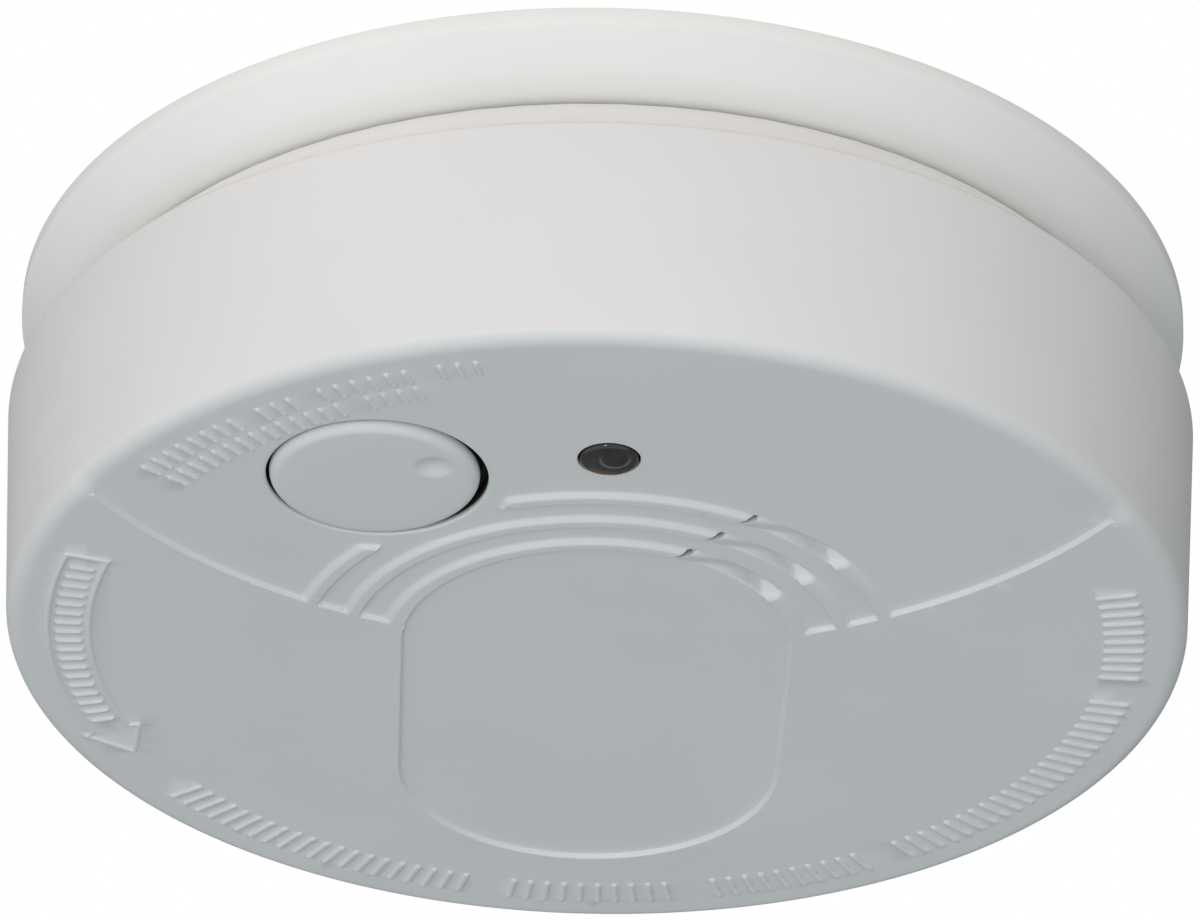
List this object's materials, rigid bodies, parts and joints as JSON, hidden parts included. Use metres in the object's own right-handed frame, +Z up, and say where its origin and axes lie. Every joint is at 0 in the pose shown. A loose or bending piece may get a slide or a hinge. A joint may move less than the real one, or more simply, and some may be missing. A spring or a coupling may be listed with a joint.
{
  "type": "smoke detector",
  "caption": "Round ceiling smoke alarm with a push test button, an indicator lamp and a twist-off body on a tapered mounting base.",
  "frame": {"origin": "centre of the mounting base's back face, which lies on the ceiling", "axes": "+Z up out of the back face into the ceiling, the alarm hangs below along -Z; the test button and the lamp are on the -Y side of the face, the battery on the +Y side"},
  "size_m": [0.105, 0.105, 0.0329],
  "materials": {
    "casing": "white moulded ABS, very fine grain",
    "button": "white moulded ABS, smooth",
    "lens": "smoky clear epoxy",
    "board": "green solder mask",
    "black_plastic": "matt black moulded plastic",
    "steel": "bright plated steel",
    "brass": "rolled brass sheet",
    "ceramic": "silvered ceramic",
    "ferrite": "dull ferrite",
    "capacitor_sleeve": "shrink sleeve",
    "resistor": "lacquered",
    "emitter_epoxy": "tinted clear epoxy",
    "photodiode_epoxy": "infrared-pass epoxy",
    "battery_jacket": "plain dark metal jacket",
    "red_insulation": "soft PVC",
    "black_insulation": "soft PVC"
  },
  "bodies": {
    "base": {"mounting_base": "casing"},
    "detector": {"rear_housing": "casing", "front_cover": "casing", "switch_housing": "black_plastic", "indicator_led": "lens", "led_lead_anode": "steel", "led_lead_cathode": "steel", "circuit_board": "board", "board_screw_1": "steel", "board_screw_2": "steel", "board_screw_3": "steel", "control_ic": "black_plastic", "booster_coil": "ferrite", "capacitor_large": "capacitor_sleeve", "capacitor_small": "capacitor_sleeve", "resistor_1": "resistor", "resistor_2": "resistor", "resistor_3": "resistor", "chamber_base": "black_plastic", "chamber_labyrinth": "black_plastic", "insect_screen": "steel", "infrared_emitter": "emitter_epoxy", "photodiode": "photodiode_epoxy", "sounder_horn": "black_plastic", "piezo_plate": "brass", "piezo_ceramic": "ceramic", "battery": "battery_jacket", "battery_terminal_positive": "steel", "battery_terminal_negative": "steel", "contact_carrier": "black_plastic", "contact_positive": "steel", "contact_negative": "steel", "battery_lead_positive": "red_insulation", "battery_lead_negative": "black_insulation"},
    "button": {"test_button": "button", "button_spring": "steel"},
    "plunger": {"switch_plunger": "button"}
  },
  "joints": [
    {"name": "detector_turn", "type": "hinge", "parent": "base", "child": "detector", "pos_m": [0, 0, 0], "axis": [0, 0, -1], "range_deg": [0, 20]},
    {"name": "test_button_press", "type": "slide", "parent": "detector", "child": "button", "axis": [0, 0, 1], "range_m": [0, 0.001], "stiffness_N_per_m": 500, "springref_m": -0.002, "deforming": ["button_spring"]},
    {"name": "switch_plunger_press", "type": "slide", "parent": "detector", "child": "plunger", "axis": [0, 0, 1], "range_m": [0, 0.0008]}
  ],
  "couplings": [
    {"joint": "switch_plunger_press", "follows": "test_button_press", "ratio": 0.8}
  ]
}
